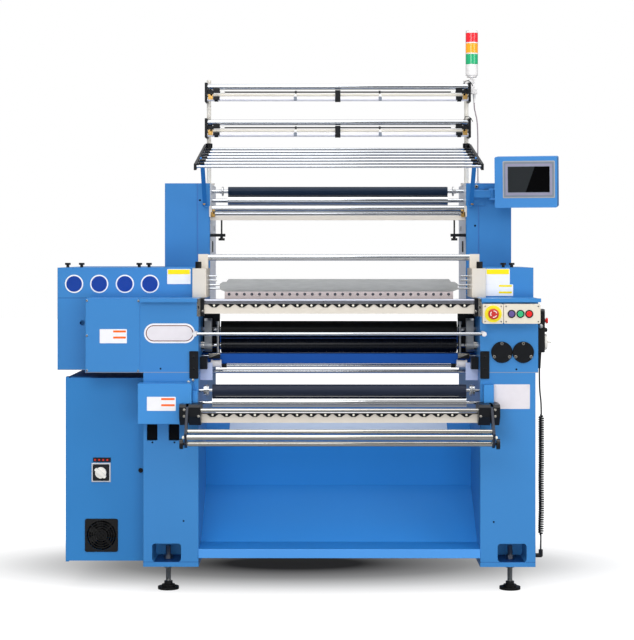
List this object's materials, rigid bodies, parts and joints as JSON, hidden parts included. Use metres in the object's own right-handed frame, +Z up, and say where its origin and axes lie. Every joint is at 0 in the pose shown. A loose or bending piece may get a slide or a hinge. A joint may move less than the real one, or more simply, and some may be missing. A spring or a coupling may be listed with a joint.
{
  "type": "crochet knitting machine",
  "caption": "Floor-standing crochet knitting machine: two columns, needle bed, rollers, yarn rack on poles, drive housing, switch cabinet, terminal and signal tower.",
  "frame": {"origin": "middle of the footprint, on the floor", "axes": "+Z up, +X to the operator's right, -Y towards the operator"},
  "size_m": [1.9816, 1.253, 2.215],
  "materials": {
    "blue_paint": "satin powder coat",
    "cream_paint": "satin enamel",
    "beige_box": "satin enamel",
    "black_steel": "black oxide",
    "chrome": "polished",
    "bright_steel": "ground",
    "aluminium": "machined",
    "zinc": "zinc plated",
    "rubber": "matt",
    "black_plastic": "fine grain",
    "white_plastic": "gloss",
    "red_plastic": "gloss",
    "green_plastic": "gloss",
    "dark_button": "gloss",
    "lens": "ribbed translucent",
    "grey_plastic": "fine grain",
    "cable_jacket": "matt",
    "grey_cable": "matt"
  },
  "bodies": {
    "root": {"left_column": "blue_paint", "right_column": "blue_paint", "upper_columns": "blue_paint", "levelling_feet": "zinc", "fabric_trough": "blue_paint", "cross_beams": "blue_paint", "left_housing": "blue_paint", "left_access_panel": "blue_paint", "right_housing": "blue_paint", "knob_screws": "black_plastic", "bolted_plates": "black_steel", "side_boxes": "blue_paint", "cabinet_shell": "blue_paint", "cabinet_plate": "zinc", "control_boxes": "beige_box", "creel_poles": "cream_paint", "creel_brackets": "black_steel", "creel_rods": "bright_steel", "rack_arms": "black_steel", "rack_rods": "bright_steel", "tower_bracket": "white_plastic", "tower_cable": "grey_cable", "cable_glands": "black_plastic", "screen_arm": "blue_paint", "guide_rods": "chrome", "end_boxes": "cream_paint", "bar_panels": "cream_paint", "combs": "black_steel", "end_brackets": "black_steel", "pendant_body": "black_plastic", "pendant_cable": "cable_jacket", "pendant_curl": "cable_jacket"},
    "cabinet_door": {"cabinet_door": "blue_paint", "door_fittings": "black_plastic", "fan_guard": "black_plastic"},
    "fan_rotor": {"fan_rotor": "black_plastic"},
    "switch_knob": {"switch_knob": "white_plastic"},
    "estop_button": {"estop_button": "red_plastic"},
    "start_button": {"start_button": "dark_button"},
    "jog_button": {"jog_button": "green_plastic"},
    "stop_button": {"stop_button": "red_plastic"},
    "upper_creel_roller": {"upper_creel_roller": "chrome"},
    "lower_creel_roller": {"lower_creel_roller": "chrome"},
    "tower_light": {"tower_base": "white_plastic", "tower_lenses": "lens"},
    "screen": {"screen_housing": "blue_paint"},
    "rubber_feed_roller": {"rubber_feed_roller": "rubber"},
    "chrome_feed_roller": {"chrome_feed_roller": "chrome"},
    "chrome_guide_roller": {"chrome_guide_roller": "chrome"},
    "weft_bar": {"weft_bar": "aluminium"},
    "needle_strip": {"needle_strip": "aluminium"},
    "rocker_arms": {"rocker_arms": "aluminium"},
    "upper_drive_roller": {"upper_drive_roller": "rubber"},
    "lower_drive_roller": {"lower_drive_roller": "rubber"},
    "takedown_roller": {"takedown_roller": "rubber"},
    "press_roller": {"press_roller": "bright_steel"},
    "fabric_frame": {"fabric_arms": "black_steel", "fabric_rods": "chrome"},
    "pendant_dial": {"pendant_dial": "white_plastic"},
    "pendant_stop": {"pendant_stop": "red_plastic"}
  },
  "joints": [
    {"name": "door_hinge", "type": "hinge", "parent": "root", "child": "cabinet_door", "pos_m": [-0.94834, -0.3035, 0.45], "axis": [0, 0, -1], "range_deg": [0, 110]},
    {"name": "fan_spin", "type": "hinge", "parent": "cabinet_door", "child": "fan_rotor", "pos_m": [-0.81484, -0.2985, 0.199], "axis": [0, 1, 0], "continuous": true},
    {"name": "switch_turn", "type": "hinge", "parent": "cabinet_door", "child": "switch_knob", "pos_m": [-0.81584, -0.3185, 0.4385], "axis": [0, 1, 0], "range_deg": [0, 90]},
    {"name": "estop_push", "type": "slide", "parent": "root", "child": "estop_button", "axis": [0, 1, 0], "range_m": [0, 0.005], "stiffness_N_per_m": 400},
    {"name": "start_push", "type": "slide", "parent": "root", "child": "start_button", "axis": [0, 1, 0], "range_m": [0, 0.003], "stiffness_N_per_m": 400},
    {"name": "jog_push", "type": "slide", "parent": "root", "child": "jog_button", "axis": [0, 1, 0], "range_m": [0, 0.003], "stiffness_N_per_m": 400},
    {"name": "stop_push", "type": "slide", "parent": "root", "child": "stop_button", "axis": [0, 1, 0], "range_m": [0, 0.003], "stiffness_N_per_m": 400},
    {"name": "upper_creel_spin", "type": "hinge", "parent": "root", "child": "upper_creel_roller", "pos_m": [0.09016, 0.3435, 1.97], "axis": [1, 0, 0], "continuous": true},
    {"name": "lower_creel_spin", "type": "hinge", "parent": "root", "child": "lower_creel_roller", "pos_m": [0.09016, 0.3435, 1.821], "axis": [1, 0, 0], "continuous": true},
    {"name": "tower_fold", "type": "hinge", "parent": "root", "child": "tower_light", "pos_m": [0.65816, 0.4285, 2.004], "axis": [-1, 0, 0], "range_deg": [0, 90]},
    {"name": "screen_swivel", "type": "hinge", "parent": "root", "child": "screen", "pos_m": [0.72216, 0.2005, 1.516], "axis": [0, 0, 1], "range_deg": [-30, 20]},
    {"name": "rubber_feed_spin", "type": "hinge", "parent": "root", "child": "rubber_feed_roller", "pos_m": [0.09016, 0.3315, 1.532], "axis": [1, 0, 0], "continuous": true},
    {"name": "chrome_feed_spin", "type": "hinge", "parent": "root", "child": "chrome_feed_roller", "pos_m": [0.09016, 0.3215, 1.493], "axis": [1, 0, 0], "continuous": true},
    {"name": "guide_roller_spin", "type": "hinge", "parent": "root", "child": "chrome_guide_roller", "pos_m": [0.09016, 0.2545, 1.458], "axis": [1, 0, 0], "continuous": true},
    {"name": "weft_shift", "type": "slide", "parent": "root", "child": "weft_bar", "axis": [1, 0, 0], "range_m": [-0.012, 0.012]},
    {"name": "rocker_swing", "type": "hinge", "parent": "root", "child": "rocker_arms", "pos_m": [0.09016, -0.2805, 0.918], "axis": [1, 0, 0], "range_deg": [-2, 2]},
    {"name": "needle_shift", "type": "slide", "parent": "root", "child": "needle_strip", "axis": [0, -1, 0], "range_m": [-0.004, 0.004]},
    {"name": "upper_drive_spin", "type": "hinge", "parent": "root", "child": "upper_drive_roller", "pos_m": [0.09016, -0.2135, 0.979], "axis": [1, 0, 0], "continuous": true},
    {"name": "lower_drive_spin", "type": "hinge", "parent": "root", "child": "lower_drive_roller", "pos_m": [0.09016, -0.2135, 0.918], "axis": [1, 0, 0], "continuous": true},
    {"name": "takedown_spin", "type": "hinge", "parent": "root", "child": "takedown_roller", "pos_m": [0.09016, -0.3875, 0.757], "axis": [1, 0, 0], "continuous": true},
    {"name": "press_spin", "type": "hinge", "parent": "root", "child": "press_roller", "pos_m": [0.09016, -0.3875, 0.7105], "axis": [1, 0, 0], "continuous": true},
    {"name": "fabric_frame_swing", "type": "hinge", "parent": "root", "child": "fabric_frame", "pos_m": [0.09016, -0.5255, 0.694], "axis": [1, 0, 0], "range_deg": [-20, 10]},
    {"name": "dial_spin", "type": "hinge", "parent": "root", "child": "pendant_dial", "pos_m": [0.87016, -0.3485, 0.938], "axis": [1, 0, 0], "continuous": true},
    {"name": "pendant_stop_push", "type": "slide", "parent": "root", "child": "pendant_stop", "axis": [-1, 0, 0], "range_m": [0, 0.004], "stiffness_N_per_m": 400}
  ],
  "couplings": [
    {"joint": "chrome_feed_spin", "follows": "rubber_feed_spin", "ratio": -0.9744},
    {"joint": "lower_drive_spin", "follows": "upper_drive_spin", "ratio": -1.2453},
    {"joint": "press_spin", "follows": "takedown_spin", "ratio": -0.9574},
    {"joint": "needle_shift", "follows": "rocker_swing", "m_per_rad": 0.1}
  ]
}
